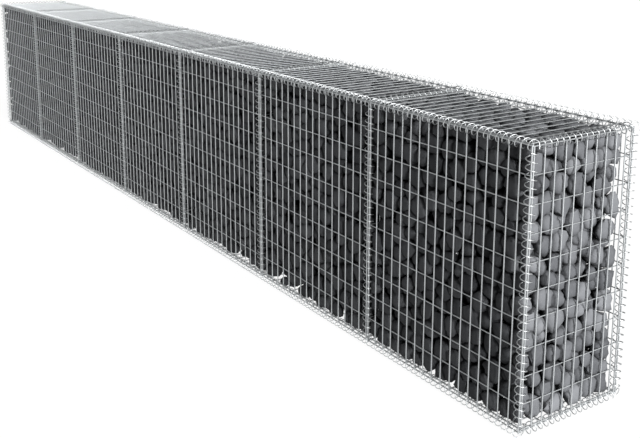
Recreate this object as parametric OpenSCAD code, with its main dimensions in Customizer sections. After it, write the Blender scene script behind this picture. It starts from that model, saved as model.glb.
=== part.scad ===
// Gabion wall: a row of welded-mesh baskets filled with stone and laced together with spiral binders.
// +X runs along the wall, the front faces -Y, +Z is up. The origin is on the ground, under the middle.
// Every basket has a front, a back, a base and a cover of welded wires. Partitions stand between
// neighbouring baskets, and an end panel closes each end of the row.

/* [Row] */
// Number of baskets in the row
bays = 7; // [1:1:7]
// Gap between the edge wires of neighbouring baskets, measured between wire centres
joint_w = 12; // [10:0.5:20]
// Depth of the row, between the centres of the front and the back uprights
depth = 500; // [300:5:1000]

/* [Mesh] */
// Number of mesh openings along the front of one basket
bay_cells = 17; // [4:1:20]
// Number of mesh openings over the height
height_cells = 10; // [3:1:10]
// Spacing of the uprights along the front
upright_pitch = 50; // [40:1:100]
// Spacing of the uprights across the depth, counted from the front
depth_pitch = 50; // [40:1:100]
// Spacing of the cross wires over the height
cross_pitch = 100; // [70:1:150]

/* [Wires] */
// Diameter of the uprights and of the wires across the depth
upright_d = 5; // [4:0.1:6]
// Diameter of the cross wires
cross_d = 4; // [3:0.1:5]
// How much thicker the edge wires round each panel are than its uprights
edge_extra = 0.6; // [0.5:0.1:1.5]
// Clearance between wires that pass each other inside a panel
weld_gap = 0.2; // [0.1:0.05:0.4]
// Clearance at which one panel is seated on another
seat_gap = 0.3; // [0.2:0.05:0.4]

/* [Spiral binders] */
// Diameter of the wire that a spiral binder is wound from
spiral_wire_d = 3.5; // [2.5:0.1:5]
// Clearance between a spiral binder and the outermost wire that it laces
spiral_play = 0.8; // [0.5:0.1:4]
// Distance from an outer edge wire in to the axis of its spiral binder
lace = 2.5; // [2:0.1:4]
// Clearance between spiral binders that meet at a corner
binder_gap = 0.7; // [0.3:0.1:5]

/* [Stone fill] */
// Distance from the innermost wires in to the face of the stone fill
fill_gap = 1.3; // [0.6:0.1:5]
// Room left between the stone fill and the back, on top of that distance
back_room = 32; // [0:1:60]
// Clearance between the chamfered edges of the stone fill and the spiral binders
bite_gap = 0.6; // [0.3:0.1:5]

/* [Hidden] */
// Wires are drawn with six flats, and their flats lie against each other at the welds.
WIRE_SIDES = 6;
SLEEVE_FN = 32;
// The last opening before the back takes what is left of the depth, and is at least this wide.
MIN_OPENING = 20;

bay_w = bay_cells * upright_pitch;
bay_step = bay_w + joint_w;
row_l = bays * bay_w + (bays - 1) * joint_w;
panel_h = height_cells * cross_pitch;

edge_d = upright_d + edge_extra;

// Half of a wire's width over its corners.
function corner_r(d) = d / 2 / cos(180 / WIRE_SIDES);

// A panel's own layers, measured inwards from the centre of its uprights.
cross_y = upright_d / 2 + weld_gap + cross_d / 2;
inner_y = cross_y + cross_d / 2;
edge_upright_y = (edge_d - upright_d) / 2;
edge_cross_y = inner_y - edge_d / 2;

// Panels between the front and the back start this far in from them.
side_inset = inner_y + seat_gap + corner_r(edge_d);
depth_cells = floor((depth - 2 * side_inset - MIN_OPENING) / depth_pitch) + 1;

// Levels: the spiral binders along the base touch the ground, and carry everything else.
lid_seat = corner_r(edge_d) + seat_gap;
base_mesh_rise = lid_seat + upright_d / 2;
cover_mesh_rise = lid_seat + edge_upright_y + edge_d / 2;

// The first and last wires of a base or a cover, in from the basket's corner uprights.
lid_inset = edge_d - upright_d / 2 + seat_gap + corner_r(edge_d);

// A spiral binder reaches round the edge wires of the covers or bases on both sides of a partition.
lid_edge_rise = base_mesh_rise + edge_upright_y - lace;
spiral_r = norm([joint_w / 2 + lid_inset, lid_edge_rise]) + corner_r(edge_d) + spiral_play + spiral_wire_d;
corner_clear = lace + spiral_r + binder_gap;

base_z = spiral_r - lace;
top_z = base_z + panel_h;
base_mesh_z = base_z + base_mesh_rise;
cover_mesh_z = top_z + cover_mesh_rise;
side_top_z = cover_mesh_z - inner_y - seat_gap - corner_r(edge_d);

// Ends of the wires across the depth, over the front and back edge wires.
lap_y = depth / 2 - (edge_d - upright_d / 2) - seat_gap;

// Positions of the wires.
upright_xs = [for (i = [0:bay_cells]) i * upright_pitch];
front_zs = [for (k = [0:height_cells]) base_z + k * cross_pitch];
side_ys = concat([for (i = [0:depth_cells - 1]) -depth / 2 + side_inset + i * depth_pitch], [depth / 2 - side_inset]);
side_zs = concat([for (k = [0:height_cells - 1]) base_z + k * cross_pitch], [side_top_z]);
lid_xs = concat([lid_inset], [for (i = [1:bay_cells - 1]) i * upright_pitch], [bay_w - lid_inset]);
lid_ys = concat([for (i = [0:2:depth_cells - 1]) side_ys[i]], [side_ys[depth_cells]]);

// Spiral binders run along the front and back edges, and up and across at every basket joint.
binder_x = row_l / 2 - lace;
binder_y = depth / 2 - lace;
joint_xs = [for (i = [0:bays]) i == 0 ? -binder_x : i == bays ? binder_x : bay_x(i) + bay_w + joint_w / 2];
low_binder_z = base_z + lace;
high_binder_z = top_z + lace;
binder_slot = corner_r(upright_d) + seat_gap;
cross_slot = corner_r(cross_d) + seat_gap;

// The stone fill's faces, and the chamfer that keeps its edges clear of the binders.
fill_inset = inner_y + fill_gap;
fill_low_z = base_mesh_z + inner_y + seat_gap;
fill_high_z = cover_mesh_z - inner_y - seat_gap;
fill_chamfer = sqrt(2) * (spiral_r + bite_gap) - (fill_inset - lace) - (high_binder_z - fill_high_z);

steel = [0.72, 0.73, 0.74];
spiral_steel = [0.80, 0.81, 0.82];
stone = [0.45, 0.45, 0.46];

// X of the first corner upright of a basket.
function bay_x(bay) = -row_l / 2 + (bay - 1) * bay_step;

// One straight wire along Z, with two of its flats facing +Y and -Y.
module wire(d, from, to) {
    translate([0, 0, from]) cylinder(r = corner_r(d), h = to - from, $fn = WIRE_SIDES);
}

// One straight wire along X, with two of its flats facing +Y and -Y.
module wire_x(d, from, to) {
    rotate([0, 90, 0]) wire(d, from, to);
}

// A welded panel that stands in the XZ plane, with its cross wires on its +Y side.
// Thin wires are welded to the thicker edge wires and pass each other with a hair's clearance inside.
// The uprights run on past the edge wires by tail.
module welded_panel(xs, zs, tail = 0) {
    last_x = len(xs) - 1;
    last_z = len(zs) - 1;
    stub = edge_d / 2;
    for (i = [1:last_x - 1])
        translate([xs[i], 0, 0]) wire(upright_d, zs[0] - tail, zs[last_z] + tail);
    for (x = [xs[0], xs[last_x]])
        translate([x, edge_upright_y, 0]) wire(edge_d, zs[0] - max(stub, tail), zs[last_z] + max(stub, tail));
    for (k = [1:last_z - 1])
        translate([0, cross_y, zs[k]]) wire_x(cross_d, xs[0], xs[last_x]);
    for (z = [zs[0], zs[last_z]])
        translate([0, edge_cross_y, z]) wire_x(edge_d, xs[0] - stub, xs[last_x] + stub);
}

// A tube along Z that takes the room of one stretch of a spiral binder.
module sleeve(from, to) {
    translate([0, 0, from]) difference() {
        cylinder(r = spiral_r, h = to - from, $fn = SLEEVE_FN);
        translate([0, 0, -1]) cylinder(r = spiral_r - spiral_wire_d, h = to - from + 2, $fn = SLEEVE_FN);
    }
}

// A binder along Z as sleeves between the wires that cross it at the given stations.
module binder(stations, slot, from, to) {
    for (i = [0:len(stations) - 2])
        sleeve(max(stations[i] + slot, from), min(stations[i + 1] - slot, to));
}

module binder_along_x(bay, y, z) {
    translate([bay_x(bay), y, z]) rotate([0, 90, 0])
        binder(upright_xs, binder_slot, corner_clear, bay_w - corner_clear);
}

module binder_along_y(x, z) {
    translate([x, 0, z]) rotate([-90, 0, 0])
        binder(side_ys, binder_slot, -depth / 2 + corner_clear, depth / 2 - corner_clear);
}

module upright_binder(x, y) {
    translate([x, y, 0]) binder(front_zs, cross_slot, base_z + corner_clear, top_z - corner_clear);
}

module front_panel(bay) {
    color(steel) translate([bay_x(bay), -depth / 2, 0]) welded_panel(upright_xs, front_zs);
}

module back_panel(bay) {
    color(steel) translate([bay_x(bay), depth / 2, 0]) mirror([0, 1, 0]) welded_panel(upright_xs, front_zs);
}

// Lies on the bottom edge wires, with its long wires on top.
module base_panel(bay) {
    color(steel) translate([bay_x(bay), 0, base_mesh_z]) mirror([0, 1, 0]) rotate([90, 0, 0])
        lid_mesh();
}

// Lies on the top edge wires, with its long wires underneath.
module cover(bay) {
    color(steel) translate([bay_x(bay), 0, cover_mesh_z]) rotate([-90, 0, 0])
        lid_mesh();
}

// The mesh of a base or a cover, standing in the XZ plane as every welded panel does.
module lid_mesh() {
    welded_panel(lid_xs, lid_ys, lap_y - lid_ys[len(lid_ys) - 1]);
}

// A panel across the depth, with its uprights at x and its cross wires towards +X.
module side_panel(x) {
    color(steel) translate([x, 0, 0]) mirror([1, 0, 0]) rotate([0, 0, 90])
        welded_panel(side_ys, side_zs);
}

// Stands in the middle of the gap between two baskets.
module partition(joint) {
    side_panel(bay_x(joint) + bay_w + joint_w / 2 - (inner_y - upright_d / 2) / 2);
}

module end_panel_left() {
    side_panel(-row_l / 2);
}

module end_panel_right() {
    mirror([1, 0, 0]) side_panel(-row_l / 2);
}

// The stones of one basket as one closed block, chamfered clear of the binders.
module stone_fill(bay) {
    x_size = bay_w - 2 * fill_inset;
    y_size = depth - 2 * fill_inset - back_room;
    z_size = fill_high_z - fill_low_z;
    color(stone) translate([bay_x(bay) + bay_w / 2, -back_room / 2, fill_low_z + z_size / 2]) intersection() {
        chamfered_bar(x_size, y_size, z_size);
        rotate([0, 90, 0]) chamfered_bar(z_size, y_size, x_size);
        rotate([90, 0, 0]) chamfered_bar(x_size, z_size, y_size);
    }
}

// A centred bar along Z with its four long edges chamfered.
module chamfered_bar(x_size, y_size, length) {
    a = x_size / 2;
    b = y_size / 2;
    c = fill_chamfer;
    linear_extrude(length, center = true)
        polygon([[a - c, -b], [a, c - b], [a, b - c], [a - c, b], [c - a, b], [-a, b - c], [-a, c - b], [c - a, -b]]);
}

module upright_binders(y) {
    color(spiral_steel) for (x = joint_xs) upright_binder(x, y);
}

module long_binder(y, z) {
    color(spiral_steel) for (bay = [1:bays]) binder_along_x(bay, y, z);
}

module cross_binders(z) {
    color(spiral_steel) for (x = joint_xs) binder_along_y(x, z);
}

for (i = [1:bays]) {
    front_panel(i);
    back_panel(i);
    base_panel(i);
    cover(i);
    stone_fill(i);
    if (i < bays) partition(i);
}
end_panel_left();
end_panel_right();
upright_binders(-binder_y);  // upright_binders_front
upright_binders(binder_y);  // upright_binders_back
long_binder(-binder_y, high_binder_z);  // top_binder_front
long_binder(binder_y, high_binder_z);  // top_binder_back
long_binder(-binder_y, low_binder_z);  // base_binder_front
long_binder(binder_y, low_binder_z);  // base_binder_back
cross_binders(high_binder_z);  // top_cross_binders
cross_binders(low_binder_z);  // base_cross_binders
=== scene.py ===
"""Gabion wall: a row of welded wire baskets filled with field stone and laced together with spiral binders.

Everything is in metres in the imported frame: +X runs along the wall, the front faces -Y, +Z is up and the
ground is 0.
"""

import logging
import math
from dataclasses import dataclass, field
from enum import Enum

import bpy
import numpy as np
from mathutils import Matrix, Vector


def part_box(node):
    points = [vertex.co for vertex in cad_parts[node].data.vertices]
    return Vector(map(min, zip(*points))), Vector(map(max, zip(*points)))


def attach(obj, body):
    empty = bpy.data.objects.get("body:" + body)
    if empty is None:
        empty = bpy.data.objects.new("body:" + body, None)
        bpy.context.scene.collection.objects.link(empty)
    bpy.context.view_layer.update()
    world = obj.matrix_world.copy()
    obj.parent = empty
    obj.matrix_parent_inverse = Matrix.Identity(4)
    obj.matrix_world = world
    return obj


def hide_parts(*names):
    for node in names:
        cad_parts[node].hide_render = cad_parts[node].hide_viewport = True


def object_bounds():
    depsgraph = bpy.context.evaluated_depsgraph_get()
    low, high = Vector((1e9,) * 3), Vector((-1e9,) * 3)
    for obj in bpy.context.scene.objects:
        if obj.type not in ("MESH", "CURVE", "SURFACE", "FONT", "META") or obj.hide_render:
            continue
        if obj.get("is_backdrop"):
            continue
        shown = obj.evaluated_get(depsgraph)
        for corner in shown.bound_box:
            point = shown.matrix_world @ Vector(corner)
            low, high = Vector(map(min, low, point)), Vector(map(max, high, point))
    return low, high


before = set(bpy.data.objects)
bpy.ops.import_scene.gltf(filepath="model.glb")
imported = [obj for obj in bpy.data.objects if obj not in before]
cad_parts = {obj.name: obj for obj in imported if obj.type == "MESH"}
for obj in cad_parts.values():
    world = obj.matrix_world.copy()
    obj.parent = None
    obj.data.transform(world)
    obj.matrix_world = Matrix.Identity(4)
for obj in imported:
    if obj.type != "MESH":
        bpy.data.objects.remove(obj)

MM = 0.001
LOG = logging.getLogger("gabion_wall")

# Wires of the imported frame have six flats, so they are this much wider over their corners.
CORNER = 1 / math.cos(math.pi / 6)

# A direction that leans towards a face by less than this counts as passing it by.
ASKEW = 1e-3


# ---------------------------------------------------------------- helpers


def linear(hex_colour: str) -> tuple[float, float, float, float]:
    """Turns an sRGB colour to the linear colour that shaders take.

    Args:
        hex_colour: The colour as six hex digits.

    Returns:
        Linear red, green, blue and an alpha of one.
    """
    channels = [int(hex_colour[i:i + 2], 16) / 255 for i in (0, 2, 4)]
    red, green, blue = (c / 12.92 if c <= 0.04045 else ((c + 0.055) / 1.055) ** 2.4 for c in channels)
    return red, green, blue, 1.0


def add_node(tree: bpy.types.NodeTree, kind: str, inputs: dict | None = None,
             **settings: object) -> bpy.types.Node:
    """Adds a node with its settings, its input values and its links.

    Args:
        tree: The node tree that gets the node.
        kind: The node's type name.
        inputs: Input socket names or numbers, each with a value or with the output socket that feeds it.
        **settings: The node's own properties.

    Returns:
        The new node.
    """
    node = tree.nodes.new(kind)
    for name, value in settings.items():
        setattr(node, name, value)
    for name, value in (inputs or {}).items():
        if isinstance(value, bpy.types.NodeSocket):
            tree.links.new(value, node.inputs[name])
        else:
            node.inputs[name].default_value = value
    return node


def deselect_all() -> None:
    """Leaves nothing selected, so that an operator acts on the new primitive alone."""
    for thing in bpy.context.selected_objects:
        thing.select_set(False)


def unit_rows(vectors: np.ndarray) -> np.ndarray:
    """Scales vectors to a length of one.

    Args:
        vectors: Vectors in the last axis.

    Returns:
        The same directions at length one.
    """
    return vectors / np.linalg.norm(vectors, axis=-1, keepdims=True)


@dataclass(frozen=True)
class Blank:
    """A shape that was modelled once, held as arrays so that it can be copied many times."""

    points: np.ndarray
    corners: np.ndarray
    face_sizes: np.ndarray

    @classmethod
    def from_object(cls, model: bpy.types.Object) -> "Blank":
        """Takes a modelled object's mesh as a blank and removes the object.

        Args:
            model: The object, with its modifiers applied.

        Returns:
            The blank.
        """
        mesh = model.data
        points = np.empty(len(mesh.vertices) * 3)
        mesh.vertices.foreach_get("co", points)
        local = Matrix(model.matrix_world)
        points = points.reshape(-1, 3) @ np.array(local.to_3x3()).T + np.array(local.translation)
        corners = np.empty(len(mesh.loops), dtype=np.int64)
        mesh.loops.foreach_get("vertex_index", corners)
        sizes = np.empty(len(mesh.polygons), dtype=np.int64)
        mesh.polygons.foreach_get("loop_total", sizes)
        bpy.data.objects.remove(model)
        bpy.data.meshes.remove(mesh)
        return cls(points, corners, sizes)


def join_copies(name: str, sets: list[tuple[Blank, np.ndarray]], smooth_angle: float) -> bpy.types.Object:
    """Joins copies of blanks into one object at the origin.

    Args:
        name: The object's name.
        sets: Blanks, each with the points of its copies as copies x points x 3.
        smooth_angle: Edges flatter than this angle are shaded smooth.

    Returns:
        The joined object.
    """
    points, corners, sizes, first = [], [], [], 0
    for blank, copies in sets:
        count, each = copies.shape[:2]
        points.append(copies.reshape(-1, 3))
        offsets = first + each * np.arange(count)[:, None]
        corners.append((blank.corners[None] + offsets).ravel())
        sizes.append(np.tile(blank.face_sizes, count))
        first += count * each
    all_points, all_corners, all_sizes = (np.concatenate(part) for part in (points, corners, sizes))
    mesh = bpy.data.meshes.new(name)
    mesh.vertices.add(len(all_points))
    mesh.vertices.foreach_set("co", all_points.astype(np.float32).ravel())
    mesh.loops.add(len(all_corners))
    mesh.loops.foreach_set("vertex_index", all_corners.astype(np.int32))
    mesh.polygons.add(len(all_sizes))
    mesh.polygons.foreach_set("loop_start", (np.cumsum(all_sizes) - all_sizes).astype(np.int32))
    mesh.update(calc_edges=True)
    mesh.validate()
    piece = bpy.data.objects.new(name, mesh)
    bpy.context.scene.collection.objects.link(piece)
    deselect_all()
    bpy.context.view_layer.objects.active = piece
    piece.select_set(True)
    bpy.ops.object.shade_smooth_by_angle(angle=smooth_angle)
    return piece


def seat_piece(piece: bpy.types.Object, node: str, material: bpy.types.Material) -> None:
    """Dresses a finished piece and puts it in the place of its frame node.

    Args:
        piece: The finished piece.
        node: The frame node that it stands for.
        material: Its finish.
    """
    piece.data.materials.append(material)
    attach(piece, "root")
    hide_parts(node)
    LOG.info("%s: %d faces", piece.name, len(piece.data.polygons))


# ---------------------------------------------------------------- finishes


@dataclass(frozen=True)
class GalvanisedWire:
    """Hot-dip galvanised steel wire: drawn, welded and dipped in zinc.

    The zinc gives a light, satin grey with a faint frosted mottle, brighter where it has run thin.
    """

    name: str
    dull: str
    bright: str
    roughness: float
    roughness_spread: float = 0.08
    mottle: float = 7 * MM
    grain: float = 1.5 * MM
    grain_depth: float = 0.2 * MM
    grain_strength: float = 0.25

    def make(self) -> bpy.types.Material:
        """Builds the finish.

        Returns:
            The material.
        """
        material = bpy.data.materials.new(self.name)
        material.use_nodes = True
        tree = material.node_tree
        shader = tree.nodes["Principled BSDF"]
        shader.inputs["Metallic"].default_value = 1.0
        place = add_node(tree, "ShaderNodeTexCoord").outputs["Object"]
        # Patches of zinc a few millimetres long.
        patches = add_node(tree, "ShaderNodeTexNoise", {
            "Vector": place, "Scale": 1 / self.mottle, "Detail": 3.0})
        zinc = add_node(tree, "ShaderNodeMix", {
            0: patches.outputs[0], 6: linear(self.dull), 7: linear(self.bright)}, data_type="RGBA")
        tree.links.new(zinc.outputs[2], shader.inputs["Base Color"])
        satin = add_node(tree, "ShaderNodeMapRange", {
            "Value": patches.outputs[0], "To Min": self.roughness - self.roughness_spread,
            "To Max": self.roughness + self.roughness_spread})
        tree.links.new(satin.outputs[0], shader.inputs["Roughness"])
        # The frosted surface of the dip, drawn coarser than the real crystals so that it shows.
        frost = add_node(tree, "ShaderNodeTexNoise", {
            "Vector": place, "Scale": 1 / self.grain, "Detail": 2.0})
        bump = add_node(tree, "ShaderNodeBump", {
            "Height": frost.outputs[0], "Strength": self.grain_strength, "Distance": self.grain_depth})
        tree.links.new(bump.outputs[0], shader.inputs["Normal"])
        return material


@dataclass(frozen=True)
class FieldStone:
    """Rounded basalt field stone, tumbled and unpolished.

    It is matt and dark grey. Each stone has its own tone, with cloudy patches, fine crystal specks and small
    pits. Stones further in are darkened by painted shade, so that the gaps between the outer stones look dark.
    """

    name: str = "basalt_field_stone"
    dark: str = "1b1c1e"
    light: str = "3f4042"
    speck: str = "636465"
    cloud: float = 26 * MM
    crystal: float = 3 * MM
    pit: float = 7 * MM
    pit_depth: float = 2 * MM
    pit_strength: float = 0.6
    cloud_share: float = 0.35
    speck_strength: float = 0.5
    smooth: float = 0.72
    rough: float = 0.92
    specular: float = 0.12
    # The stones' tone attribute also carries the painted shade of the stones further in.
    tone_and_shade_attribute: str = "stone_tone_and_shade"

    def make(self) -> bpy.types.Material:
        """Builds the finish.

        Returns:
            The material.
        """
        material = bpy.data.materials.new(self.name)
        material.use_nodes = True
        tree = material.node_tree
        shader = tree.nodes["Principled BSDF"]
        shader.inputs["Specular IOR Level"].default_value = self.specular
        place = add_node(tree, "ShaderNodeTexCoord").outputs["Object"]
        tone = add_node(tree, "ShaderNodeAttribute", attribute_name=self.tone_and_shade_attribute)
        clouds = add_node(tree, "ShaderNodeTexNoise", {
            "Vector": place, "Scale": 1 / self.cloud, "Detail": 5.0})
        # About two parts of the stone's own tone, painted shade included, to one part of cloudy patches.
        blend = add_node(tree, "ShaderNodeMix", {
            0: self.cloud_share, 2: tone.outputs["Fac"], 3: clouds.outputs[0]})
        body = add_node(tree, "ShaderNodeMix", {
            0: blend.outputs[0], 6: linear(self.dark), 7: linear(self.light)}, data_type="RGBA")
        # Crystals of about a millimetre, drawn at three so that they show.
        crystals = add_node(tree, "ShaderNodeTexVoronoi", {"Vector": place, "Scale": 1 / self.crystal})
        specks = add_node(tree, "ShaderNodeMapRange", {
            "Value": crystals.outputs["Distance"], "From Min": 0.22, "From Max": 0.05,
            "To Max": self.speck_strength})
        rock = add_node(tree, "ShaderNodeMix", {
            0: specks.outputs[0], 6: body.outputs[2], 7: linear(self.speck)}, data_type="RGBA")
        tree.links.new(rock.outputs[2], shader.inputs["Base Color"])
        rough = add_node(tree, "ShaderNodeMapRange", {
            "Value": clouds.outputs[0], "To Min": self.smooth, "To Max": self.rough})
        tree.links.new(rough.outputs[0], shader.inputs["Roughness"])
        pits = add_node(tree, "ShaderNodeTexNoise", {"Vector": place, "Scale": 1 / self.pit, "Detail": 6.0})
        bump = add_node(tree, "ShaderNodeBump", {
            "Height": pits.outputs[0], "Strength": self.pit_strength, "Distance": self.pit_depth})
        tree.links.new(bump.outputs[0], shader.inputs["Normal"])
        return material


# ---------------------------------------------------------------- welded mesh


class Facing(Enum):
    """How a welded panel stands: the axes across its uprights, along them, and inwards."""

    FRONT = ((1, 0, 0), (0, 0, 1), (0, 1, 0))
    BACK = ((1, 0, 0), (0, 0, 1), (0, -1, 0))
    BASE = ((1, 0, 0), (0, 1, 0), (0, 0, 1))
    COVER = ((1, 0, 0), (0, 1, 0), (0, 0, -1))
    ACROSS = ((0, 1, 0), (0, 0, 1), (1, 0, 0))
    ACROSS_RIGHT = ((0, 1, 0), (0, 0, 1), (-1, 0, 0))


@dataclass(frozen=True)
class WeldedMesh:
    """The wires of the welded panels and how they are put together.

    Every panel has uprights on its outer side, cross wires welded inside them, and thicker edge wires.
    """

    upright_d: float = 5.0 * MM
    cross_d: float = 4.0 * MM
    edge_d: float = 5.6 * MM
    clearance: float = 0.2 * MM
    weld_sink: float = 0.4 * MM
    wire_sides: int = 10
    end_chamfer: float = 0.3
    smooth_angle: float = math.radians(40)

    def edge_inset(self) -> float:
        """Returns how far an edge wire's centre is from the side of its panel's box."""
        return self.edge_d / 2 * CORNER

    def model_blank(self) -> Blank:
        """Models one wire of unit radius, with its cut ends chamfered.

        Returns:
            The wire along Z, from -1 to 1.
        """
        deselect_all()
        bpy.ops.mesh.primitive_cylinder_add(vertices=self.wire_sides, radius=1.0, depth=2.0,
                                            end_fill_type="NGON")
        wire = bpy.context.object
        bpy.ops.object.mode_set(mode="EDIT")
        bpy.ops.mesh.select_mode(type="FACE")
        bpy.ops.mesh.select_all(action="DESELECT")
        bpy.ops.object.mode_set(mode="OBJECT")
        for face in wire.data.polygons:
            face.select = abs(face.normal.z) > 0.9
        bpy.ops.object.mode_set(mode="EDIT")
        bpy.ops.mesh.bevel(offset=self.end_chamfer, segments=1)
        bpy.ops.object.mode_set(mode="OBJECT")
        return Blank.from_object(wire)

    def lay_wires(self, blank: Blank, starts: np.ndarray, ends: np.ndarray,
                  diameters: np.ndarray) -> np.ndarray:
        """Copies the wire blank along straight lines.

        Args:
            blank: The unit wire.
            starts: First end of each wire.
            ends: Second end of each wire.
            diameters: Diameter of each wire.

        Returns:
            The points of the copies.
        """
        axis = unit_rows(ends - starts)
        side = np.roll(axis, 1, axis=1)
        third = np.cross(axis, side)
        radius = diameters[:, None, None] / 2
        half = np.linalg.norm(ends - starts, axis=1)[:, None] / 2
        x, y, z = blank.points.T
        along = np.sign(z) * half + (z - np.sign(z)) * radius[:, :, 0]
        middle = (starts + ends)[:, None] / 2
        return (middle + radius * (x[None, :, None] * side[:, None] + y[None, :, None] * third[:, None])
                + along[:, :, None] * axis[:, None])

    def weave(self, name: str, blank: Blank, facing: Facing, outer: float, us: np.ndarray, vs: np.ndarray,
              reach: float) -> bpy.types.Object:
        """Builds one welded panel.

        Args:
            name: The panel's name.
            blank: The unit wire.
            facing: How the panel stands.
            outer: Where the outer side of the uprights is, along the inward axis.
            us: Places of the uprights across the panel.
            vs: Places of the cross wires along the uprights.
            reach: How far the uprights run past the first and last cross wires.

        Returns:
            The panel as one object.
        """
        stub = self.edge_d / 2
        upright_w = outer + self.upright_d / 2
        edge_upright_w = outer + self.edge_d / 2
        cross_w = upright_w + self.upright_d / 2 + self.cross_d / 2 - self.weld_sink
        edge_cross_w = upright_w + self.upright_d / 2 + self.clearance + self.cross_d - self.edge_d / 2
        tail = max(stub, reach)
        wires = [(u, u, vs[0] - reach, vs[-1] + reach, upright_w, self.upright_d) for u in us[1:-1]]
        wires += [(u, u, vs[0] - tail, vs[-1] + tail, edge_upright_w, self.edge_d) for u in (us[0], us[-1])]
        wires += [(us[0], us[-1], v, v, cross_w, self.cross_d) for v in vs[1:-1]]
        wires += [(us[0] - stub, us[-1] + stub, v, v, edge_cross_w, self.edge_d) for v in (vs[0], vs[-1])]
        rows = np.array(wires)
        axes = np.array(facing.value, dtype=float)
        starts = rows[:, [0, 2, 4]] @ axes
        ends = rows[:, [1, 3, 4]] @ axes
        laid = self.lay_wires(blank, starts, ends, rows[:, 5])
        return join_copies(name, [(blank, laid)], self.smooth_angle)


@dataclass
class Layout:
    """Where the wires of the row are, read from the frame's boxes."""

    mesh: WeldedMesh
    bays: int
    upright_cells: int = 17
    height_cells: int = 10
    depth_cells: int = 10
    depth_pitch: float = 50 * MM
    upright_xs: list[np.ndarray] = field(default_factory=list)
    cross_zs: np.ndarray = field(default_factory=lambda: np.zeros(0))
    side_ys: np.ndarray = field(default_factory=lambda: np.zeros(0))

    def __post_init__(self) -> None:
        """Reads the places of the uprights, the cross wires and the wires across the depth."""
        inset = self.mesh.edge_inset()
        for bay in range(1, self.bays + 1):
            low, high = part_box(f"front_panel_{bay}")
            self.upright_xs.append(np.linspace(low[0] + inset, high[0] - inset, self.upright_cells + 1))
            self.cross_zs = np.linspace(low[2] + inset, high[2] - inset, self.height_cells + 1)
        low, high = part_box("end_panel_left")
        # The last opening before the back takes what is left of the depth.
        from_front = low[1] + inset + self.depth_pitch * np.arange(self.depth_cells)
        self.side_ys = np.append(from_front, high[1] - inset)

    def joint_xs(self) -> np.ndarray:
        """Returns where the upright binders stand: at both ends of the row and between the baskets."""
        low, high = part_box("top_cross_binders")
        radius = (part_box("top_binder_front")[1][2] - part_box("top_binder_front")[0][2]) / 2
        inner = [(self.upright_xs[i][-1] + self.upright_xs[i + 1][0]) / 2 for i in range(self.bays - 1)]
        return np.array([low[0] + radius, *inner, high[0] - radius])


@dataclass
class BasketWork:
    """All the welded panels of the row."""

    layout: Layout
    mesh: WeldedMesh
    finish: bpy.types.Material
    slot: str = "mesh_wire"

    def build(self) -> None:
        """Builds, dresses and seats every panel."""
        blank = self.mesh.model_blank()
        for bay in range(1, self.layout.bays + 1):
            self.long_panels(blank, bay)
            self.lids(blank, bay)
        for joint in range(1, self.layout.bays):
            self.across(blank, f"partition_{joint}", f"partition_mesh_{joint}", Facing.ACROSS)
        self.across(blank, "end_panel_left", "end_mesh_left", Facing.ACROSS)
        self.across(blank, "end_panel_right", "end_mesh_right", Facing.ACROSS_RIGHT)

    def long_panels(self, blank: Blank, bay: int) -> None:
        """Builds a basket's front and back.

        Args:
            blank: The unit wire.
            bay: The basket's number.
        """
        xs, zs = self.layout.upright_xs[bay - 1], self.layout.cross_zs
        for node, name, facing in ((f"front_panel_{bay}", f"front_mesh_{bay}", Facing.FRONT),
                                   (f"back_panel_{bay}", f"back_mesh_{bay}", Facing.BACK)):
            low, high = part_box(node)
            outer = low[1] if facing is Facing.FRONT else -high[1]
            panel = self.mesh.weave(name, blank, facing, outer, xs, zs, 0.0)
            seat_piece(panel, node, self.finish)

    def lids(self, blank: Blank, bay: int) -> None:
        """Builds a basket's base and cover, whose wires across the depth line up with its uprights.

        Args:
            blank: The unit wire.
            bay: The basket's number.
        """
        inset = self.mesh.edge_inset()
        # Every other wire across the ends lines up with a long wire of the base and the cover.
        ys = np.append(self.layout.side_ys[:-1:2], self.layout.side_ys[-1])
        for node, name, facing in ((f"base_panel_{bay}", f"base_mesh_{bay}", Facing.BASE),
                                   (f"cover_{bay}", f"cover_mesh_{bay}", Facing.COVER)):
            low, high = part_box(node)
            outer = low[2] if facing is Facing.BASE else -high[2]
            xs = np.array([low[0] + inset, *self.layout.upright_xs[bay - 1][1:-1], high[0] - inset])
            panel = self.mesh.weave(name, blank, facing, outer, xs, ys, high[1] - ys[-1])
            seat_piece(panel, node, self.finish)

    def across(self, blank: Blank, node: str, name: str, facing: Facing) -> None:
        """Builds a panel that stands across the depth.

        Args:
            blank: The unit wire.
            node: The frame node that it stands for.
            name: The piece's name.
            facing: How it stands.
        """
        low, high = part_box(node)
        outer = low[0] if facing is Facing.ACROSS else -high[0]
        zs = np.array([*self.layout.cross_zs[:-1], high[2] - self.mesh.edge_inset()])
        panel = self.mesh.weave(name, blank, facing, outer, self.layout.side_ys, zs, 0.0)
        seat_piece(panel, node, self.finish)


# ---------------------------------------------------------------- spiral binders


class Along(Enum):
    """Which way a spiral runs: its two turning axes and its own axis, as rows."""

    X = ((0, 1, 0), (0, 0, 1), (1, 0, 0))
    Y = ((0, 0, 1), (1, 0, 0), (0, 1, 0))
    Z = ((1, 0, 0), (0, 1, 0), (0, 0, 1))


class Hand(Enum):
    """Which way a spiral winds."""

    LEFT = -1
    RIGHT = 1


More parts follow.
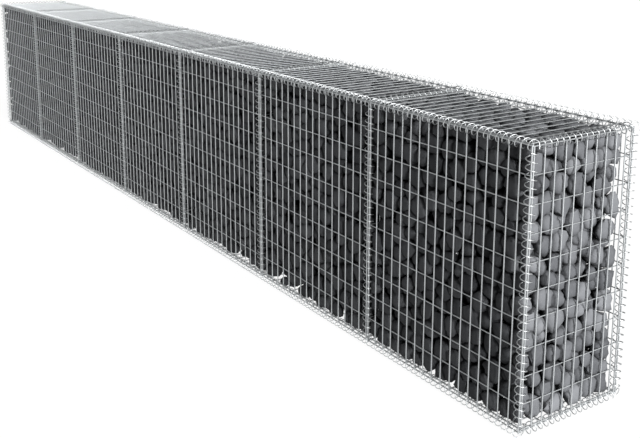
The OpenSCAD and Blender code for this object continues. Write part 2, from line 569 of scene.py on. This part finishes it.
@dataclass
class SpiralBinders:
    """The wire spirals that lace the panels' edges together."""

    layout: Layout
    finish: bpy.types.Material
    wire_d: float = 3.5 * MM
    outer_r: float = 20.735 * MM
    steps_per_turn: int = 12
    wire_sides: int = 6
    # A spiral makes seven turns in four mesh openings, so its wire mostly passes between the wires that it
    # meets.
    turns_per_cell: float = 1.75
    turns_per_cross: float = 3.5
    station_angle: float = math.radians(45)
    joint_overrun: float = 2 * MM
    end_overrun: float = 14 * MM
    # How far a spiral stops short of the one that crosses its end.
    clear: float = 2.5 * MM
    smooth_angle: float = math.radians(70)
    slot: str = "spiral_wire"

    def model_spiral(self, length: float, pitch: float, hand: Hand) -> Blank:
        """Models one spiral along Z from zero, winding from the +X side.

        Args:
            length: Its length.
            pitch: The length of one turn.
            hand: Which way it winds.

        Returns:
            The spiral.
        """
        mean_r = self.outer_r - self.wire_d / 2
        lead = math.atan2(pitch, 2 * math.pi * mean_r)
        turns = length / pitch
        deselect_all()
        bpy.ops.mesh.primitive_circle_add(
            vertices=self.wire_sides, radius=self.wire_d / 2, fill_type="NOTHING",
            location=(mean_r, 0, 0), rotation=(hand.value * lead - math.pi / 2, 0, 0))
        wire = bpy.context.object
        bpy.ops.object.transform_apply(location=True, rotation=True, scale=True)
        winding = wire.modifiers.new("winding", "SCREW")
        winding.axis = "Z"
        winding.angle = hand.value * turns * 2 * math.pi
        winding.screw_offset = length
        winding.iterations = 1
        winding.steps = winding.render_steps = round(turns * self.steps_per_turn)
        bpy.ops.object.modifier_apply(modifier=winding.name)
        bpy.ops.object.mode_set(mode="EDIT")
        bpy.ops.mesh.select_all(action="SELECT")
        bpy.ops.mesh.fill_holes(sides=self.wire_sides)
        bpy.ops.mesh.select_all(action="SELECT")
        bpy.ops.mesh.normals_make_consistent(inside=False)
        bpy.ops.object.mode_set(mode="OBJECT")
        return Blank.from_object(wire)

    def place(self, blank: Blank, along: Along, start: tuple[float, float, float],
              angle: float) -> np.ndarray:
        """Turns a spiral and puts it in its place.

        Args:
            blank: The spiral.
            along: The way it runs.
            start: Where its axis starts.
            angle: Where on its round the wire starts.

        Returns:
            The points of the copy.
        """
        turn = np.array([[math.cos(angle), math.sin(angle), 0],
                         [-math.sin(angle), math.cos(angle), 0],
                         [0, 0, 1]])
        return blank.points @ turn @ np.array(along.value, dtype=float) + np.array(start)

    def seat(self, node: str, sets: list[tuple[Blank, np.ndarray]]) -> None:
        """Joins a node's spirals into one piece and seats it.

        Args:
            node: The frame node that it stands for.
            sets: Spirals with the points of their copies.
        """
        piece = join_copies(f"{node}_spirals", sets, self.smooth_angle)
        seat_piece(piece, node, self.finish)

    def long_binders(self) -> None:
        """Winds the spirals along the four long edges, one to a basket."""
        cell = self.layout.upright_xs[0][1] - self.layout.upright_xs[0][0]
        pitch = cell / self.turns_per_cell
        spans = []
        for i, xs in enumerate(self.layout.upright_xs):
            before = self.end_overrun if i == 0 else self.joint_overrun
            after = self.end_overrun if i == self.layout.bays - 1 else self.joint_overrun
            spans.append((xs[0], before, xs[-1] - xs[0] + before + after))
        lengths = {round(span[2], 6) for span in spans}
        blanks = {(length, hand): self.model_spiral(length, pitch, hand)
                  for length in sorted(lengths) for hand in Hand}
        for node, hand in (("top_binder_front", Hand.LEFT), ("top_binder_back", Hand.LEFT),
                           ("base_binder_front", Hand.RIGHT), ("base_binder_back", Hand.RIGHT)):
            low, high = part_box(node)
            y, z = (low[1] + high[1]) / 2, (low[2] + high[2]) / 2
            sets = []
            for first, before, length in spans:
                blank = blanks[round(length, 6), hand]
                angle = self.station_angle - hand.value * 2 * math.pi * before / pitch
                sets.append((blank, self.place(blank, Along.X, (first - before, y, z), angle)[None]))
            self.seat(node, sets)

    def upright_binders(self) -> None:
        """Winds the spirals up every joint, clear of the ones along the top and the base."""
        zs = self.layout.cross_zs
        pitch = (zs[1] - zs[0]) / self.turns_per_cross
        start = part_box("base_binder_front")[1][2] + self.clear
        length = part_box("top_binder_front")[0][2] - self.clear - start
        hand = Hand.LEFT
        blank = self.model_spiral(length, pitch, hand)
        angle = self.station_angle + hand.value * 2 * math.pi * (start - zs[0]) / pitch
        for node in ("upright_binders_front", "upright_binders_back"):
            low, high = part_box(node)
            y = (low[1] + high[1]) / 2
            copies = [self.place(blank, Along.Z, (x, y, start), angle) for x in self.layout.joint_xs()]
            self.seat(node, [(blank, np.array(copies))])

    def cross_binders(self) -> None:
        """Winds the spirals across the depth at every joint, clear of the upright ones."""
        ys = self.layout.side_ys
        pitch = (ys[1] - ys[0]) / self.turns_per_cell
        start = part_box("upright_binders_front")[1][1] + self.clear
        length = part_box("upright_binders_back")[0][1] - self.clear - start
        hand = Hand.RIGHT
        blank = self.model_spiral(length, pitch, hand)
        angle = self.station_angle + hand.value * 2 * math.pi * (start - ys[0]) / pitch
        for node in ("top_cross_binders", "base_cross_binders"):
            low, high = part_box(node)
            z = (low[2] + high[2]) / 2
            copies = [self.place(blank, Along.Y, (x, start, z), angle) for x in self.layout.joint_xs()]
            self.seat(node, [(blank, np.array(copies))])

    def build(self) -> None:
        """Winds, dresses and seats every spiral."""
        self.long_binders()
        self.upright_binders()
        self.cross_binders()


# ---------------------------------------------------------------- stones


class Grade(Enum):
    """How finely a stone is shaped: cuts across a side of the cube that it starts from."""

    FACE = 2
    BEHIND = 1


@dataclass
class StoneFill:
    """The stones of the baskets, packed against the mesh and pressed flat where they touch it."""

    layout: Layout
    finish: bpy.types.Material
    spacing: float = 64 * MM
    radius_low: float = 27 * MM
    radius_high: float = 38 * MM
    small_share: float = 0.22
    small_low: float = 18 * MM
    small_high: float = 24 * MM
    # How balls settle: how far they start from an even grid, how much they may grow, and how hard they push.
    scatter: float = 0.42
    growth: float = 1.06
    push: float = 0.36
    settle_rounds: int = 22
    neighbours: int = 20
    least_border: float = 4 * MM
    gap: float = 0.92
    sharpness: float = 15.0
    longest: float = 1.45
    wall_press: float = 0.46
    # How much harder walls and binders press than neighbours do, which keeps the flat faces flat.
    wall_sharper: float = 1.6
    ripple_waves: float = 2.2
    ripple_height: float = 0.03
    smooth_angle: float = math.radians(75)
    # Tones are skewed towards dark by this power, and stones further in are darkened still more as painted
    # shade.
    tone_skew: float = 1.2
    inner_painted_shade: float = 0.3
    # How far stones keep from the axis of a spiral binder.
    binder_r: float = 13 * MM
    wall_play: float = 0.3 * MM
    partition_inset: float = -1.0 * MM
    # How deep the stones that show and the stones behind them lie, in stone spacings.
    face_layer: float = 0.82
    last_layer: float = 1.7
    seed: int = 41
    slot: str = "stone"

    def model_blank(self, grade: Grade) -> Blank:
        """Models the ball that each stone is shaped from.

        Args:
            grade: How finely it is cut.

        Returns:
            A ball of radius one.
        """
        deselect_all()
        bpy.ops.mesh.primitive_cube_add(size=2.0)
        ball = bpy.context.object
        bpy.ops.object.mode_set(mode="EDIT")
        bpy.ops.mesh.select_all(action="SELECT")
        bpy.ops.mesh.subdivide(number_cuts=grade.value)
        bpy.ops.object.mode_set(mode="OBJECT")
        rounding = ball.modifiers.new("rounding", "CAST")
        rounding.cast_type = "SPHERE"
        rounding.factor = 1.0
        bpy.ops.object.modifier_apply(modifier=rounding.name)
        blank = Blank.from_object(ball)
        return Blank(unit_rows(blank.points), blank.corners, blank.face_sizes)

    def room(self, bay: int) -> tuple[np.ndarray, np.ndarray]:
        """Finds the room inside a basket's mesh.

        Args:
            bay: The basket's number.

        Returns:
            Its lowest and highest corners.
        """
        xs = self.layout.upright_xs[bay - 1]
        front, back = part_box(f"front_panel_{bay}"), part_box(f"stone_fill_{bay}")[1][1]
        base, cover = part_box(f"base_panel_{bay}"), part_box(f"cover_{bay}")
        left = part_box("end_panel_left")[1][0] if bay == 1 else xs[0] + self.partition_inset
        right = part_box("end_panel_right")[0][0] if bay == self.layout.bays else xs[-1] - self.partition_inset
        low = np.array([left, front[1][1], base[1][2]]) + self.wall_play
        high = np.array([right, back, cover[0][2]]) - self.wall_play
        return low, high

    def settle(self, rng: np.random.Generator, low: np.ndarray,
               high: np.ndarray) -> tuple[np.ndarray, np.ndarray]:
        """Packs balls of mixed sizes into a room by pushing overlapping ones apart.

        Args:
            rng: Source of the random sizes and places.
            low: The room's lowest corner.
            high: The room's highest corner.

        Returns:
            The balls' centres and radii.
        """
        size = high - low
        counts = np.maximum(np.round(size / self.spacing).astype(int), 1)
        axes = [(np.arange(n) + 0.5) / n for n in counts]
        grid = np.stack(np.meshgrid(*axes, indexing="ij"), axis=-1).reshape(-1, 3)
        centres = low + grid * size + rng.uniform(-self.scatter, self.scatter, grid.shape) * self.spacing
        small = rng.random(len(centres)) < self.small_share
        radii = np.where(small, rng.uniform(self.small_low, self.small_high, len(centres)),
                         rng.uniform(self.radius_low, self.radius_high, len(centres)))
        # Every ball is let grow a little, so that together they fill the room.
        grown = (radii * self.growth).astype(np.float32)
        c = centres.astype(np.float32)
        reach = grown[:, None] + grown[None]
        for _ in range(self.settle_rounds):
            apart = c[:, None] - c[None]
            distance = np.sqrt((apart ** 2).sum(-1)) + np.eye(len(c), dtype=np.float32)
            overlap = np.clip(reach - distance, 0, None)
            np.fill_diagonal(overlap, 0)
            c = c + self.push * ((overlap / distance)[:, :, None] * apart).sum(1)
            wall = self.wall_press * grown[:, None]
            c = np.clip(c, low + wall, high - wall).astype(np.float32)
        return c.astype(float), radii

    def shape(self, directions: np.ndarray, chosen: np.ndarray, centres: np.ndarray, radii: np.ndarray,
              low: np.ndarray, high: np.ndarray, ripple: np.ndarray) -> np.ndarray:
        """Shapes stones so that each fills its room among its neighbours, with rounded edges.

        Args:
            directions: Directions of each stone's points from its centre, stones x points x 3.
            chosen: Numbers of the stones to shape.
            centres: Centres of all the stones.
            radii: Sizes of all the stones.
            low: The basket's lowest inner corner.
            high: The basket's highest inner corner.
            ripple: How far each point swells or hollows, stones x points.

        Returns:
            The points of the stones.
        """
        mine = centres[chosen]
        away = centres[None] - mine[:, None]
        distance = np.linalg.norm(away, axis=-1)
        distance[np.arange(len(chosen)), chosen] = np.inf
        near = np.argsort(distance, axis=1)[:, :self.neighbours]
        rows = np.arange(len(chosen))[:, None]
        span = distance[rows, near]
        to_near = away[rows, near] / span[..., None]
        # The border with a neighbour lies nearer to the smaller stone.
        border = (span ** 2 + radii[chosen][:, None] ** 2 - radii[near] ** 2) / (2 * span) * self.gap
        facing = np.einsum("spk,snk->spn", directions, to_near)
        border = np.maximum(border, self.least_border)
        closeness = np.where(facing > ASKEW, facing / border[:, None], 0) ** self.sharpness
        total = closeness.sum(-1) + (1 / (self.longest * radii[chosen][:, None])) ** self.sharpness
        body = total ** (-1 / self.sharpness) * (1 + ripple)
        walls = np.concatenate([
            (high - mine)[:, None] / np.where(directions > ASKEW, directions, np.inf),
            (mine - low)[:, None] / np.where(directions < -ASKEW, -directions, np.inf)], axis=-1)
        walls = np.where(walls > 0, walls, np.inf)
        stacked = np.concatenate([body[..., None], walls, self.to_binders(mine, directions)], axis=-1)
        soft = self.wall_sharper * self.sharpness
        reach = ((1 / stacked) ** soft).sum(-1) ** (-1 / soft)
        return np.clip(mine[:, None] + directions * reach[..., None], low, high)

    def to_binders(self, starts: np.ndarray, directions: np.ndarray) -> np.ndarray:
        """Measures how far it is from stones' centres to the spiral binders round them.

        Args:
            starts: Centres of the stones.
            directions: Directions of each stone's points from its centre.

        Returns:
            Distances, stones x points x binders, infinite where a direction meets none.
        """
        front, top, base = (
            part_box(n) for n in ("upright_binders_front", "top_binder_front", "base_binder_front"))
        y = abs(front[0][1] + front[1][1]) / 2
        zs = [(top[0][2] + top[1][2]) / 2, (base[0][2] + base[1][2]) / 2]
        xs = self.layout.joint_xs()
        near_x = xs[np.argsort(abs(xs - starts[:, 0].mean()))[:2]]
        lines = [(2, (x, s * y)) for x in near_x for s in (-1, 1)]
        lines += [(0, (s * y, z)) for s in (-1, 1) for z in zs]
        lines += [(1, (x, z)) for x in near_x for z in zs]
        found = []
        for axis, (first, second) in lines:
            a, b = [i for i in range(3) if i != axis]
            da, db = directions[..., a], directions[..., b]
            oa, ob = (starts[:, a] - first)[:, None], (starts[:, b] - second)[:, None]
            square = da ** 2 + db ** 2
            half = oa * da + ob * db
            inside = half ** 2 - square * (oa ** 2 + ob ** 2 - self.binder_r ** 2)
            hit = (inside > 0) & (half < 0) & (square > 1e-9)
            root = np.sqrt(np.where(hit, inside, 0))
            found.append(np.where(hit, np.maximum(-half - root, MM) / np.where(hit, square, 1), np.inf))
        return np.stack(found, axis=-1)

    def build(self) -> list[bpy.types.Object]:
        """Packs, shapes, dresses and seats the stones of every basket.

        Returns:
            The stones, one piece to a basket.
        """
        blanks = {grade: self.model_blank(grade) for grade in Grade}
        return [self.fill_basket(bay, blanks) for bay in range(1, self.layout.bays + 1)]

    def fill_basket(self, bay: int, blanks: dict[Grade, Blank]) -> bpy.types.Object:
        """Packs, shapes, dresses and seats the stones of one basket.

        Args:
            bay: The basket's number.
            blanks: The ball of each grade.

        Returns:
            The basket's stones as one piece.
        """
        rng = np.random.default_rng(self.seed + bay)
        low, high = self.room(bay)
        centres, radii = self.settle(rng, low, high)
        depth = np.minimum(centres - low, high - centres)
        if bay > 1:
            depth[:, 0] = np.where(centres[:, 0] - low[0] < high[0] - centres[:, 0], np.inf, depth[:, 0])
        if bay < self.layout.bays:
            depth[:, 0] = np.where(centres[:, 0] - low[0] > high[0] - centres[:, 0], np.inf, depth[:, 0])
        layers = depth.min(axis=1) / self.spacing
        # Stones further in take a darker tone as painted shade, so that the gaps between the outer stones look
        # dark.
        painted_layer_shade = np.where(layers < self.face_layer, 1, self.inner_painted_shade)
        tones_and_shade = rng.random(len(centres)) ** self.tone_skew * painted_layer_shade
        sets, point_tones_and_shade = [], []
        for grade, first, last in ((Grade.FACE, 0.0, self.face_layer),
                                   (Grade.BEHIND, self.face_layer, self.last_layer)):
            chosen = np.nonzero((layers >= first) & (layers < last))[0]
            turned = self.turn_round(rng, blanks[grade].points, len(chosen))
            waves = rng.normal(size=(len(chosen), 3, 3)) * self.ripple_waves
            phases = rng.uniform(0, 2 * math.pi, (len(chosen), 1, 3))
            ripple = self.ripple_height * np.cos(np.einsum("spk,swk->spw", turned, waves) + phases).sum(-1)
            sets.append((blanks[grade], self.shape(turned, chosen, centres, radii, low, high, ripple)))
            point_tones_and_shade.append(np.repeat(tones_and_shade[chosen], len(blanks[grade].points)))
        piece = join_copies(f"stones_{bay}", sets, self.smooth_angle)
        # Each point gets its stone's random tone times the painted shade of the stones further in.
        tone = piece.data.attributes.new(FieldStone.tone_and_shade_attribute, "FLOAT", "POINT")
        tone.data.foreach_set("value", np.concatenate(point_tones_and_shade).astype(np.float32))
        seat_piece(piece, f"stone_fill_{bay}", self.finish)
        LOG.info("stones_%d: %d stones shaped", bay, sum(len(copies) for _, copies in sets))
        return piece

    def turn_round(self, rng: np.random.Generator, points: np.ndarray, count: int) -> np.ndarray:
        """Turns the ball a different way for each stone.

        Args:
            rng: Source of the random turns.
            points: Points of the ball.
            count: How many stones.

        Returns:
            The turned points, stones x points x 3.
        """
        axes, _ = np.linalg.qr(rng.normal(size=(count, 3, 3)))
        axes[:, :, 0] *= np.linalg.det(axes)[:, None]
        return np.einsum("pk,slk->spl", points, axes)


# ---------------------------------------------------------------- studio


@dataclass
class Studio:
    """The floor, the light and the camera."""

    camera_place: tuple[float, float, float] = (4.9920, -2.3904, 1.7069)
    camera_right: tuple[float, float, float] = (0.560998, 0.827812, 0.002915)
    camera_up: tuple[float, float, float] = (-0.167705, 0.110203, 0.979658)
    camera_back: tuple[float, float, float] = (0.810652, -0.550075, 0.200652)
    lens_mm: float = 51.92
    shift: tuple[float, float] = (-0.00684, -0.1668)
    floor_size: float = 240.0
    floor_colour: str = "5a5a5a"
    floor_roughness: float = 0.9
    floor_glow: float = 0.94
    sky_strength: float = 0.3
    sun_strength: float = 6.0
    stone_sun_strength: float = 21.0
    sun_height: float = math.radians(20)
    sun_turn: float = math.radians(1)
    sun_softness: float = math.radians(38)

    def make_floor(self) -> None:
        """Lays a plain white floor that glows as a light table does, so that the wall throws no hard shadow."""
        deselect_all()
        bpy.ops.mesh.primitive_plane_add(size=self.floor_size, location=(0, 0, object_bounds()[0][2]))
        floor = bpy.context.object
        floor.name = "studio_floor"
        material = bpy.data.materials.new("matt_studio_paper")
        material.use_nodes = True
        shader = material.node_tree.nodes["Principled BSDF"]
        shader.inputs["Base Color"].default_value = linear(self.floor_colour)
        shader.inputs["Roughness"].default_value = self.floor_roughness
        shader.inputs["Specular IOR Level"].default_value = 0.0
        shader.inputs["Emission Color"].default_value = (1, 1, 1, 1)
        shader.inputs["Emission Strength"].default_value = self.floor_glow
        floor.data.materials.append(material)
        floor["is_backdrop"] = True

    def hang_lamp(self, name: str, strength: float) -> bpy.types.Object:
        """Hangs a broad soft light low at the right-hand end.

        Args:
            name: Its name.
            strength: Its strength.

        Returns:
            The light.
        """
        lamp = bpy.data.lights.new(name, "SUN")
        lamp.energy = strength
        lamp.angle = self.sun_softness
        light = bpy.data.objects.new(name, lamp)
        toward = Vector((math.cos(self.sun_height) * math.cos(self.sun_turn),
                         -math.cos(self.sun_height) * math.sin(self.sun_turn), math.sin(self.sun_height)))
        light.rotation_euler = toward.to_track_quat("Z", "Y").to_euler()
        bpy.context.scene.collection.objects.link(light)
        return light

    def light_stones(self, stones: list[bpy.types.Object]) -> None:
        """Hangs a second light that falls on the stones alone.

        Dark stone takes more light than bright zinc does.

        Args:
            stones: The stones of the baskets.
        """
        lit = bpy.data.collections.new("lit_stones")
        for piece in stones:
            lit.objects.link(piece)
        self.hang_lamp("stone_light", self.stone_sun_strength).light_linking.receiver_collection = lit

    def make_light(self) -> None:
        """Hangs the end light, and a pale sky for the rest."""
        self.hang_lamp("end_light", self.sun_strength)
        world = bpy.data.worlds.new("studio_sky")
        world.use_nodes = True
        sky = world.node_tree.nodes["Background"]
        sky.inputs["Color"].default_value = (1, 1, 1, 1)
        sky.inputs["Strength"].default_value = self.sky_strength
        bpy.context.scene.world = world

    def make_camera(self) -> None:
        """Sets the camera in front of the right-hand end, a little above the wall."""
        lens = bpy.data.cameras.new("camera")
        lens.lens = self.lens_mm
        lens.shift_x, lens.shift_y = self.shift
        lens.clip_end = 2 * self.floor_size
        camera = bpy.data.objects.new("camera", lens)
        turn = Matrix((self.camera_right, self.camera_up, self.camera_back)).transposed()
        camera.matrix_world = Matrix.Translation(self.camera_place) @ turn.to_4x4()
        bpy.context.scene.collection.objects.link(camera)
        bpy.context.scene.camera = camera

    def build(self) -> None:
        """Makes the floor, the light and the camera."""
        self.make_floor()
        self.make_light()
        self.make_camera()
        bpy.context.scene.view_settings.view_transform = "Standard"


def corners(box: tuple) -> list[list[float]]:
    """Turns a box to plain lists of numbers.

    Args:
        box: Its lowest and highest corners.

    Returns:
        The two corners.
    """
    return [[float(value) for value in corner] for corner in box]


def main() -> None:
    """Builds the wall in order: the studio, the welded mesh, the spirals and the stones."""
    logging.basicConfig(level=logging.INFO, format="%(name)s: %(message)s")
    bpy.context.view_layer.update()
    studio = Studio()
    studio.build()
    bays = sum(node.startswith("front_panel_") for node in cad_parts)
    mesh = WeldedMesh()
    layout = Layout(mesh, bays)
    mesh_zinc = GalvanisedWire(
        "galvanised_mesh_wire", dull="adb0b2", bright="c9cccd", roughness=0.46).make()
    spiral_zinc = GalvanisedWire(
        "galvanised_spring_wire", dull="b6b9ba", bright="d2d4d5", roughness=0.42).make()
    BasketWork(layout, mesh, mesh_zinc).build()
    SpiralBinders(layout, spiral_zinc).build()
    studio.light_stones(StoneFill(layout, FieldStone().make()).build())


if __name__ == "__main__":
    main()
